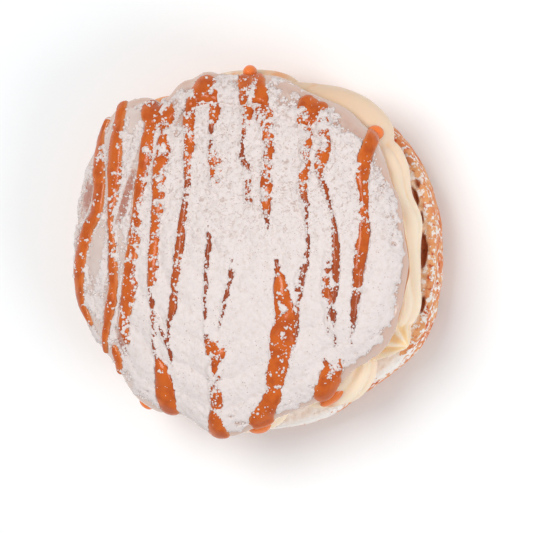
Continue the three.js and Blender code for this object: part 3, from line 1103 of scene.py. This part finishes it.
class SCROLL_OT_glaze(bpy.types.Operator):
    """Pour the thin sugar glaze over the upper half"""

    bl_idname = "scroll.glaze"
    bl_label = "Glaze"

    def execute(self, context):
        def top(u, v, value):
            return glaze_height(u, v)

        def bottom(u, v, value):
            return np.full(len(u), -0.15)

        glaze, u, v, _ = skin_piece("glaze", glaze_left, top, bottom, GLAZE_MESH, SKIN_REACH)
        smear = SMEARS.at("bare", u, v) * smooth_step(SMEARS.at("inside", u, v) + 0.6)
        length = lid_length(u, v)
        at, reach = DUSTY_RIM
        lowest = smooth_step(2.0 * bell(turned_by(heading_of(u, v), at) / reach))
        paint(
            glaze,
            seam=np.maximum(0.6 * coil_furrow(u, v), smear),
            rim=smooth_step((length - RIM_BEGINS) / 5.0),
            pale=0.85 * smooth_step((-u - 22.0) / 12.0),
            dusty=smooth_step((length - DUSTING_BEGINS) / 0.9) * lowest,
        )
        finish_piece(glaze, glaze_material())
        return {"FINISHED"}


# ---- Caramel ----
def caramel_inside(u, v):
    """How far inside a caramel line a place lies, negative outside."""
    return DRIZZLES.at("inside", u, v) + 0.22 * CARAMEL_NOISE.cloud(u, v, 2.6, 2)


def caramel_height(u, v):
    """How high the caramel stands above the glaze."""
    width = DRIZZLES.at("width", u, v)
    share = clamped(caramel_inside(u, v) / width)
    crown = np.minimum(0.75 * width, setting("caramel"))
    return crown * np.sqrt(1.0 - (1.0 - share) ** 2)


DEEP_CARAMEL = tint(182, 80, 24)
# Painted shade for narrow caramel lines that lie between the sugar.
SHADED_THIN_CARAMEL = tint(150, 68, 36)
EDGE_CARAMEL = tint(220, 140, 84)
DROP_CARAMEL = tint(240, 128, 62)


def caramel_material():
    finish = Finish(
        "caramel",
        Roughness=0.18,
        Specular_IOR_Level=0.3,
        Subsurface_Weight=0.2,
        Subsurface_Radius=(0.002, 0.0009, 0.0003),
    )
    body = finish.blend(finish.patches(0.35, 0.7, 4.0), shade("caramel"), DEEP_CARAMEL)
    # The narrow lines get a painted shade, where the sugar beside them would shade them.
    coats = {"thin": SHADED_THIN_CARAMEL, "edge": EDGE_CARAMEL, "drop": DROP_CARAMEL}
    finish.colour(finish.coats(body, **coats))
    finish.relief(finish.noise(2.0, 2.0), 0.1)
    return finish.material


# Drops that have run off the lid: place from its axis, level, three radii and a turn.
DROPS = (
    (41.5, 36.0, 39.0, 2.7, 2.3, 2.4, 0.0),
    (1.8, 55.2, 37.8, 2.2, 2.2, 2.8, 0.0),
    (27.7, -45.1, 35.2, 5.2, 2.0, 2.8, 38.0),
    (3.8, -54.6, 34.2, 3.9, 2.6, 3.4, 6.0),
    (-9.0, -55.6, 34.2, 3.6, 2.7, 3.2, 0.0),
    (-33.0, -48.0, 30.8, 2.6, 1.6, 2.4, -40.0),
)


def droplet(x, y, z, length, width, height, turn):
    """One rounded drop, turned about the upright."""
    drop = ringed_body("drop", 32, 16)[0]
    along, across, above = (read_vectors(drop) * (length, width, height)).T
    along, across = turned(along, across, math.radians(turn))
    write_round(drop, LID_AXIS, along + x, across + y, above + z)
    paint(drop, drop=1.0, edge=0.0, thin=0.0)
    return drop


class SCROLL_OT_caramel(bpy.types.Operator):
    """Drizzle the caramel to and fro over the glaze, with drops run off the edge"""

    bl_idname = "scroll.caramel"
    bl_label = "Caramel"

    def execute(self, context):
        def field(u, v):
            return np.minimum(caramel_inside(u, v), CARAMEL_END - lid_length(u, v))

        def top(u, v, value):
            return glaze_height(u, v) + caramel_height(u, v) + 0.03

        def bottom(u, v, value):
            return glaze_height(u, v) - 0.25

        caramel, u, v, value = skin_piece("caramel", field, top, bottom, CARAMEL_MESH, SKIN_REACH)
        length = lid_length(u, v)
        width = DRIZZLES.at("width", u, v)
        # Painted shade: narrow lines on this stretch, sunk between the sugar, are painted darker
        # where the sugar shades them, and their edges are not lightened there.
        sugar_shaded = smooth_step((53.0 - length) / 6.0) * smooth_step((u + 30.0) / 6.0)
        margin = smooth_step(1.0 - value / 0.75) * (1.0 - sugar_shaded)
        paint(
            caramel,
            thin=sugar_shaded * smooth_step((1.8 - width) / 0.9),
            edge=0.7 * margin,
            drop=0.3 * smooth_step((length - 56.5) / 3.0),
        )
        join([caramel, *(droplet(*drop) for drop in DROPS)])
        finish_piece(caramel, caramel_material())
        return {"FINISHED"}


# ---- Icing sugar ----
# Where the sifted sugar ends, as distance down the skin against heading, and how gradually.
SUGAR_EDGE = (
    (0, 56.0, 1.2), (20, 56.4, 1.4), (33, 55.4, 1.6), (42, 53.4, 1.8), (50, 52.0, 3.0),
    (60, 53.0, 5.5), (75, 53.5, 7.0), (95, 53.0, 7.0), (110, 52.0, 7.0), (125, 52.0, 9.0),
    (145, 50.0, 18.0), (180, 50.0, 18.0), (205, 51.0, 14.0), (222, 54.0, 5.0), (245, 56.2, 1.4),
    (270, 56.4, 1.2), (283, 56.0, 1.4), (300, 55.4, 1.4), (320, 54.8, 1.4), (335, 55.2, 1.4),
    (348, 55.6, 1.2), (360, 56.0, 1.2),
)


def sugar_cover(u, v):
    """How fully the sugar covers a place: it lies wherever this is above 0."""
    length = lid_length(u, v)
    headings, ends, fades = np.array(SUGAR_EDGE, float).T
    angle = heading_of(u, v) % 360.0
    end, fade = np.interp(angle, headings, ends), np.interp(angle, headings, fades)
    grain = 0.8 * SUGAR_NOISE.cloud(u, v, 1.5, 4)
    clumps = SUGAR_NOISE.cloud(u, v, 3.2, 2) * smooth_step((length - CLUMPS_BEGIN) / 5.0)
    loose = 0.7 + 1.3 * smooth_step((fade - 1.5) / 4.0)
    cover = np.clip((end - length) / fade, -1.5, 1.0) + grain + loose * clumps
    fallen = clamped(SUGAR_NOISE.cloud(u + 91.0, v, 1.7, 3) - 0.22)
    bared = smooth_step((SMEARS.at("inside", u, v) + 0.3) / 0.9)
    cover = cover - bared * (1.75 - 2.0 * fallen)
    inside = DRIZZLES.at("inside", u, v) + 0.3 * SUGAR_NOISE.cloud(v, u, 1.3, 2)
    bare = DRIZZLES.at("bare", u, v)
    lee = DRIZZLES.at("side", u, v) * np.clip(u / 25.0, -1.0, 1.0)
    swept = 0.5 * lee * smooth_step((1.1 - bare) / 0.2)
    spare = 0.3 * smooth_step((-u - 25.0) / 8.0)
    on_line = smooth_step((inside + spare) / 0.35)
    clinging = 3.6 * clamped(1.45 - bare) * fallen
    return cover - (0.3 + 1.5 * bare + swept - clinging) * on_line


def crumbly(v):
    """How crumbly the sugar is: loose on the side of +Y and packed on the side of -Y."""
    return smooth_step((v + 12.0) / 30.0)


DAMP_SUGAR = tint(220, 206, 201)
# Painted shadow for the small cracks in the crumbly sugar.
SHADED_SUGAR_CRACKS = tint(188, 164, 156)
SUGAR_DOTS = tint(182, 154, 146)


def sugar_material():
    finish = Finish(
        "icing_sugar",
        Roughness=0.95,
        Specular_IOR_Level=0.1,
        Subsurface_Weight=0.1,
        Subsurface_Radius=(0.001, 0.0008, 0.0007),
    )
    dots = 1.0 - finish.step(finish.dots(0.95), 0.1, 0.24)
    dots = dots * finish.patches(0.46, 0.6, 3.0)
    # Painted shadows: short dark cracks, strongest where the sugar is crumbly, as small pits would
    # cast.
    crack_shade = finish.patches(0.53, 0.62, 1.3, 4.0, 0.7, 0.8)
    crack_shade = crack_shade * (finish.painted("crumbly") * 0.8 + 0.1)
    damp = finish.patches(0.45, 0.7, 1.6, 4.0, 0.65)
    body = finish.blend(damp, shade("sugar"), DAMP_SUGAR)
    body = finish.blend(crack_shade * 0.8, body, SHADED_SUGAR_CRACKS)
    finish.colour(finish.blend(dots, body, SUGAR_DOTS))
    finish.relief(finish.noise(0.6, 3.0, 0.6), 0.2)
    return finish.material


class SCROLL_OT_sugar(bpy.types.Operator):
    """Sift icing sugar over the upper half, in two pieces side by side"""

    bl_idname = "scroll.sugar"
    bl_label = "Icing sugar"

    def execute(self, context):
        thickness = setting("sugar")
        material = sugar_material()

        def field(u, v):
            return np.minimum(sugar_cover(u, v), (SUGAR_END - lid_length(u, v)) * 0.5)

        def ground(u, v):
            return glaze_height(u, v) + caramel_height(u, v)

        def top(u, v, value):
            heap = 0.1 + thickness * smooth_step(value / 0.5)
            lumps = 0.5 * SUGAR_NOISE.cloud(u, v, 1.1, 2) + 0.2 * SUGAR_NOISE.cloud(v, u, 4.0, 2)
            return ground(u, v) + heap * (1.0 + lumps * (0.5 + 0.7 * crumbly(v)))

        def bottom(u, v, value):
            return ground(u, v) - 0.12

        for name, sign in (("icing_sugar_left", -1.0), ("icing_sugar_right", 1.0)):
            sugar, _, v, _ = skin_piece(
                name, field, top, bottom, SUGAR_MESH, SUGAR_REACH, lambda u, v: u * sign > 0
            )
            # The finish also reads this to place its painted crack shadows.
            paint(sugar, crumbly=crumbly(v))
            finish_piece(sugar, material, angle=80.0)
        return {"FINISHED"}


# How far out loose lumps lie, where they thin out, and the sizes that they come in.
GRAIN_REACH = 57.5
GRAIN_FADE = 52.0
GRAIN_LEAST = 0.13
GRAIN_SPREAD = 0.42


class SCROLL_OT_grains(bpy.types.Operator):
    """Strew loose lumps of sugar over the caramel and the glaze"""

    bl_idname = "scroll.grains"
    bl_label = "Loose sugar"

    def execute(self, context):
        deselect_all()
        bpy.ops.mesh.primitive_ico_sphere_add(subdivisions=1, radius=1.0)
        lump = context.object
        shape = read_vectors(lump)
        corners = np.array([face.vertices[:] for face in lump.data.polygons])
        bpy.data.objects.remove(lump)
        dice = np.random.default_rng(21)
        wanted_count = context.scene.scroll_sizes.grains
        tries = wanted_count * 12
        angle = dice.uniform(0.0, 2.0 * np.pi, tries)
        reach = GRAIN_REACH * np.sqrt(dice.uniform(0.0, 1.0, tries))
        u, v = round_places(reach * lid_outline(np.degrees(angle)) / LID_RADIUS, angle)
        cover = sugar_cover(u, v)
        bare = DRIZZLES.at("bare", u, v) * (DRIZZLES.at("inside", u, v) > 0)
        chance = np.exp(-((cover + 0.15) ** 2) / 0.1) * (1.0 - 0.6 * bare) + 0.01
        chance = chance * (1.0 - smooth_step((lid_length(u, v) - GRAIN_FADE) / 4.0))
        kept = np.flatnonzero((dice.uniform(0.0, 1.0, tries) < chance) & (cover < 0.25))
        kept = kept[:wanted_count]
        u, v = u[kept], v[kept]
        size = GRAIN_LEAST + GRAIN_SPREAD * dice.uniform(0.0, 1.0, len(kept)) ** 3
        middle = lid_lifted(u, v, glaze_height(u, v) + caramel_height(u, v) + 0.3 * size)
        rough = 1.0 + 0.25 * dice.uniform(-1.0, 1.0, (len(kept), len(shape), 1))
        points = middle[:, None] + shape * rough * (size * MM)[:, None, None]
        faces = corners + (np.arange(len(kept)) * len(shape))[:, None, None]
        grains = triangle_piece("sugar_grains", points.reshape(-1, 3), faces.reshape(-1, 3))
        finish_piece(grains, bpy.data.materials["icing_sugar"])
        return {"FINISHED"}


# ---- Filling ----
CREAM_FLOOR = BASE_HEIGHT + 0.2
CREAM_PLUMP = 0.4
CREAM_LOBES = 7
ROPE_TWIST = 1.5

# The length of a degree of a rope's path and the steps along it, in millimetres.
DEGREE_LENGTH = 0.9
ROPE_STEP = 0.4

# How far out the lid presses the ropes flat, and how far out the filling inside them reaches.
PRESSED_REACH = 54.0
CORE_REACH = 47.0
CORE_SHARES = (0.35, 0.65)

# Piped ropes round the edge: depth of the ridges, then heading, outer reach from the lid's axis
# and half-width.
ROPES = (
    (
        0.03, (88, 51.0, 5.0), (74, 54.5, 6.0), (66, 56.5, 7.0), (59, 58.7, 8.5), (51, 60.4, 9.5),
        (43, 60.4, 9.5), (38, 58.6, 8.5), (30, 52.0, 7.0),
    ),
    (
        0.18, (46, 53.0, 6.0), (36, 57.6, 7.5), (28, 57.2, 7.5), (19, 54.6, 7.5), (10, 55.6, 7.0),
        (0, 54.4, 6.5), (-10, 55.6, 7.0), (-18, 57.6, 7.0), (-24, 57.2, 6.0), (-29, 56.2, 4.6),
        (-32, 54.0, 3.4),
    ),
    (
        0.18, (-33, 46.0, 6.0), (-42, 54.8, 7.0), (-50, 57.6, 7.5), (-57, 57.2, 7.2),
        (-66, 54.0, 6.5), (-76, 48.0, 5.0),
    ),
    (
        0.11, (-72, 50.0, 5.0), (-82, 56.0, 6.0), (-98, 57.4, 6.0), (-108, 55.5, 5.5),
        (-116, 49.0, 5.0),
    ),
    (
        0.11, (-112, 50.0, 5.0), (-122, 57.6, 5.5), (-134, 57.6, 5.5), (-146, 54.5, 5.0),
        (-152, 49.0, 5.0),
    ),
    (0.11, (-148, 50.0, 5.0), (-160, 56.5, 5.0), (-172, 56.2, 5.0), (-184, 52.0, 5.0)),
    (0.11, (180, 50.0, 5.0), (168, 55.6, 5.0), (152, 56.5, 5.0), (140, 53.0, 5.0)),
    (0.11, (146, 50.0, 5.0), (134, 57.0, 5.0), (122, 55.0, 5.0), (112, 51.0, 5.0)),
    (0.11, (116, 49.0, 5.0), (106, 55.2, 5.5), (92, 56.6, 5.5), (78, 56.2, 5.5), (68, 53.0, 5.0)),
)

# Where caramel has run into the filling: heading and reach to each side, in degrees.
CREAM_STAINS = ((98.0, 8.0), (80.0, 7.0), (66.0, 4.0), (-61.0, 4.0), (-123.0, 6.0))

# The side of the filling that is painted darker, a painted shade where less light falls: heading
# and reach to each side, in degrees.
SHADED_SIDE = (75.0, 70.0)


def cream_ceiling(x):
    """Level of the lid's cut face, from a place's x measured from the lid's axis."""
    return LID_SEAT - 0.15 + math.tan(LID_TILT) * x


def star_section(phase, depth):
    """Reach of a star nozzle's section, with round lobes and narrow creases."""
    crease = np.abs(np.sin(phase * CREAM_LOBES / 2))
    return 1.0 - depth * (1.0 - crease**0.7)


def cream_rope(ridges, *points):
    """One rope of cream, squeezed between the cut faces."""
    places = [(angle * DEGREE_LENGTH, reach, width) for angle, reach, width in points]
    path = eased_line(places, ROPE_STEP)
    rope, phase, share = ringed_body("rope", 112, max(int(len(path) * 1.2), 60))
    step = np.linspace(0.0, 1.0, len(path))
    angle = np.radians(np.interp(share, step, path[:, 0]) / DEGREE_LENGTH)
    reach, width = (np.interp(share, step, path[:, side]) for side in (1, 2))
    end = np.sqrt(clamped(1.0 - np.abs(2.0 * share - 1.0) ** 8))
    middle = reach - width
    ceiling = cream_ceiling(middle * np.cos(angle))
    tall = (ceiling - CREAM_FLOOR) / 2 + CREAM_PLUMP
    size = star_section(phase + ROPE_TWIST * share, ridges) * end
    rise = (ceiling + CREAM_FLOOR) / 2 + tall * size * np.sin(phase)
    x, y = round_places(middle + width * size * np.cos(phase), angle)
    write_round(rope, LID_AXIS, x, y, rise)
    return rope


# The star where the nozzle was lifted off: heading and climb, and its foot's reach and level.
PEAK_HEADING = math.radians(-30.0)
PEAK_CLIMB = math.radians(24.0)
PEAK_FOOT = (42.5, 29.4)
PEAK_LENGTH = 18.6
PEAK_WIDTH = 12.4
PEAK_RIDGES = 6


def peak_reach(share, phase):
    """Reach of the star's section, with sharp ridges and wide hollows."""
    swell = clamped(share * 1.5) ** 0.8 * clamped((1.0 - share) * 6.0)
    return PEAK_WIDTH * swell * (1.0 - 0.4 * np.abs(np.sin(phase * PEAK_RIDGES / 2)) ** 0.8)


def cream_peak():
    """The star, which points up and out of the mouth."""
    peak, phase, share = ringed_body("peak", 140, 80)
    across, above = round_places(peak_reach(share, phase), phase)
    out, rise = turned(PEAK_LENGTH * (1.0 - share) ** 0.8, above, PEAK_CLIMB)
    x, y = turned(out + PEAK_FOOT[0], across, PEAK_HEADING)
    write_round(peak, LID_AXIS, x, y, rise + PEAK_FOOT[1])
    return peak


def peak_hollow(x, y, z):
    """How far between the star's ridges a place of its surface lies, from 0 to 1."""
    out, across = turned(x, y, -PEAK_HEADING)
    along, above = turned(out - PEAK_FOOT[0], z - PEAK_FOOT[1], -PEAK_CLIMB)
    share = 1.0 - clamped(along / PEAK_LENGTH) ** 1.25
    phase = np.arctan2(above, across)
    off = np.abs(np.hypot(across, above) - peak_reach(share, phase))
    between = np.abs(np.sin(phase * PEAK_RIDGES / 2))
    return smooth_step(2.0 - off) * smooth_step(along / 5.0) * smooth_step((between - 0.25) / 0.6)


def cream_core():
    """The filling inside the ring of ropes, a wedge between the cut faces."""
    core, heading, share = ringed_body("core", 120, 24)
    first, last = CORE_SHARES
    reach = np.interp(share, (0.0, first, last, 1.0), (0.0, CORE_REACH, CORE_REACH, 0.0))
    x, y = round_places(reach, heading)
    level = smooth_step((last - share) / (last - first))
    write_round(core, LID_AXIS, x, y, CREAM_FLOOR + level * (cream_ceiling(x) - CREAM_FLOOR))
    return core


def hollowness(piece, passes):
    """How far each point lies in a hollow of its mesh, in millimetres."""
    points = read_vectors(piece) / MM
    ends = np.empty(len(piece.data.edges) * 2, np.int32)
    piece.data.edges.foreach_get("vertices", ends)
    one, two = ends.reshape(-1, 2).T
    times = np.bincount(ends, minlength=len(points))[:, None] + 1.0
    smoothed = points
    for _ in range(passes):
        total = smoothed.copy()
        for side in range(3):
            total[:, side] += np.bincount(one, smoothed[two, side], len(points))
            total[:, side] += np.bincount(two, smoothed[one, side], len(points))
        smoothed = total / times
    return ((smoothed - points) * read_vectors(piece, "normal")).sum(axis=1)


# Painted shade for the side of the filling that gets less light.
SHADED_SIDE_CREAM = tint(224, 192, 162)
# Painted shade: a deeper yellow for the cream's hollows and creases.
SHADED_CREASE_CREAM = tint(250, 204, 140)
STAINED_CREAM = tint(226, 146, 84)


def cream_material():
    finish = Finish(
        "cream",
        Roughness=0.38,
        Specular_IOR_Level=0.4,
        Subsurface_Weight=0.35,
        Subsurface_Radius=(0.006, 0.004, 0.002),
        Subsurface_Scale=1.0,
    )
    # Painted shade: the filling is darker on one side, as if less light fell there.
    body = finish.coats(shade("cream"), dull=SHADED_SIDE_CREAM)
    # Painted shade in the hollows: deeper yellow where a point lies in a hollow or between the
    # star's ridges.
    body = finish.blend(finish.step(finish.painted("hollow"), 0.0, 0.5), body, SHADED_CREASE_CREAM)
    finish.colour(finish.coats(body, stain=STAINED_CREAM))
    return finish.material


class SCROLL_OT_cream(bpy.types.Operator):
    """Pipe the filling round the edge in ridged ropes"""

    bl_idname = "scroll.cream"
    bl_label = "Cream"

    def execute(self, context):
        ropes = [cream_rope(*rope) for rope in ROPES]
        cream = ropes[0]
        cream.name = "cream_filling"
        cream.data.name = "cream_filling"
        join([*ropes, cream_peak()])
        apply_modifier(cream, "REMESH", mode="VOXEL", voxel_size=0.55 * MM, adaptivity=0.0)
        apply_modifier(cream, "SMOOTH", factor=0.5, iterations=3)
        points = read_vectors(cream) / MM
        x, y = points[:, 0] - LID_AXIS[0], points[:, 1] - LID_AXIS[1]
        pressed = np.minimum(points[:, 2], cream_ceiling(x))
        level = np.where(np.hypot(x, y) < PRESSED_REACH, pressed, points[:, 2])
        write_round(cream, LID_AXIS, x, y, np.maximum(level, CREAM_FLOOR))
        join([cream, cream_core()])
        points = read_vectors(cream) / MM
        x, y, z = points[:, 0] - LID_AXIS[0], points[:, 1] - LID_AXIS[1], points[:, 2]
        # How far each point lies in a hollow, which the finish paints as shade.
        hollow = np.maximum(hollowness(cream, 12), 0.36 * peak_hollow(x, y, z))
        angle = heading_of(x, y)
        stain = np.zeros(len(points))
        for at, reach in CREAM_STAINS:
            stain = np.maximum(stain, bell(turned_by(angle, at) / reach))
        streaks = smooth_step(0.5 + 1.2 * CARAMEL_NOISE.cloud(angle, z, 3.0))
        # Painted shade, strongest on the side given above and fading to each side.
        at, reach = SHADED_SIDE
        dull = bell(turned_by(angle, at) / reach)
        paint(cream, hollow=hollow, dull=dull, stain=0.75 * stain * streaks)
        finish_piece(cream, cream_material(), "cream")
        return {"FINISHED"}


# ---- Stage ----
# The camera's lens, its distance, its lean above the level, and where it looks, from the middle
# of the lower half.
CAMERA_LENS = 258.6
CAMERA_DISTANCE = 1.2
CAMERA_LEAN = math.radians(78.0)
CAMERA_AIM = (3.0, -4.84, 25.0)

FLOOR_COLOUR = (0.912, 0.925, 0.938, 1.0)
SKY_COLOUR = (0.885, 0.965, 1.0, 1.0)
SKY_STRENGTH = 0.56
LIGHTS_AIM = Vector((0.0, 0.0, 0.03))


def scroll_camera():
    """A long lens nearly overhead, leaning towards the open mouth."""
    cos_lean, sin_lean = math.cos(CAMERA_LEAN), math.sin(CAMERA_LEAN)
    right = Vector((sin_lean, 0.0, -cos_lean))
    up = Vector((0.0, 1.0, 0.0))
    back = Vector((cos_lean, 0.0, sin_lean))
    middle = box_middle("base")
    target = Vector((middle[0] + CAMERA_AIM[0], middle[1] + CAMERA_AIM[1], CAMERA_AIM[2])) * MM
    data = bpy.data.cameras.new("camera")
    data.lens = CAMERA_LENS
    data.sensor_width = 36.0
    data.clip_start = 0.05
    data.clip_end = 20.0
    camera = new_object("camera", data)
    turn = Matrix((right, up, back)).transposed().to_4x4()
    camera.matrix_world = Matrix.Translation(target + back * CAMERA_DISTANCE) @ turn
    bpy.context.scene.camera = camera


def soft_light(name, place, size, power, colour=(1.0, 1.0, 1.0)):
    data = bpy.data.lights.new(name, "AREA")
    data.shape = "DISK"
    data.size = size
    data.energy = power
    data.color = colour
    lamp = new_object(name, data)
    lamp.location = place
    lamp.rotation_euler = (LIGHTS_AIM - Vector(place)).to_track_quat("-Z", "Y").to_euler()


class SCROLL_OT_stage(bpy.types.Operator):
    """Set the pale floor, the soft light and the camera"""

    bl_idname = "scroll.stage"
    bl_label = "Stage"

    def execute(self, context):
        deselect_all()
        bpy.ops.mesh.primitive_plane_add(size=4.0, location=(0, 0, 0))
        floor = context.object
        floor.name = "floor"
        finish = Finish(
            "pale_floor", Roughness=0.9, Specular_IOR_Level=0.1, Base_Color=FLOOR_COLOUR
        )
        floor.data.materials.append(finish.material)
        world = bpy.data.worlds.new("studio")
        context.scene.world = world
        world.use_nodes = True
        sky = world.node_tree.nodes["Background"]
        sky.inputs["Color"].default_value = SKY_COLOUR
        sky.inputs["Strength"].default_value = SKY_STRENGTH
        soft_light("key", (-0.27, 0.27, 1.2), size=0.6, power=8.05, colour=(1.0, 0.96, 0.925))
        soft_light("side", (0.8, -0.4, 0.8), size=0.5, power=3.7)
        context.scene.view_settings.view_transform = "Standard"
        scroll_camera()
        return {"FINISHED"}


class SCROLL_PT_panel(bpy.types.Panel):
    bl_idname = "SCROLL_PT_panel"
    bl_label = "Cinnamon scroll"
    bl_space_type = "VIEW_3D"
    bl_region_type = "UI"
    bl_category = "Scroll"

    def draw(self, context):
        for group in (context.scene.scroll_sizes, context.scene.scroll_colours):
            for name in group.bl_rna.properties.keys():
                if name not in ("rna_type", "name"):
                    self.layout.prop(group, name)
        for step in STEPS:
            self.layout.operator(step.bl_idname)


STEPS = (
    SCROLL_OT_stage,
    SCROLL_OT_base,
    SCROLL_OT_lid,
    SCROLL_OT_cream,
    SCROLL_OT_glaze,
    SCROLL_OT_caramel,
    SCROLL_OT_sugar,
    SCROLL_OT_grains,
)
CLASSES = (ScrollSizes, ScrollColours, *STEPS, SCROLL_PT_panel)


def register():
    for item in CLASSES:
        bpy.utils.register_class(item)
    bpy.types.Scene.scroll_sizes = bpy.props.PointerProperty(type=ScrollSizes)
    bpy.types.Scene.scroll_colours = bpy.props.PointerProperty(type=ScrollColours)


def unregister():
    del bpy.types.Scene.scroll_sizes
    del bpy.types.Scene.scroll_colours
    for item in reversed(CLASSES):
        bpy.utils.unregister_class(item)


def main():
    register()
    for step in STEPS:
        group, name = step.bl_idname.split(".")
        getattr(getattr(bpy.ops, group), name)()


if __name__ == "__main__":
    main()
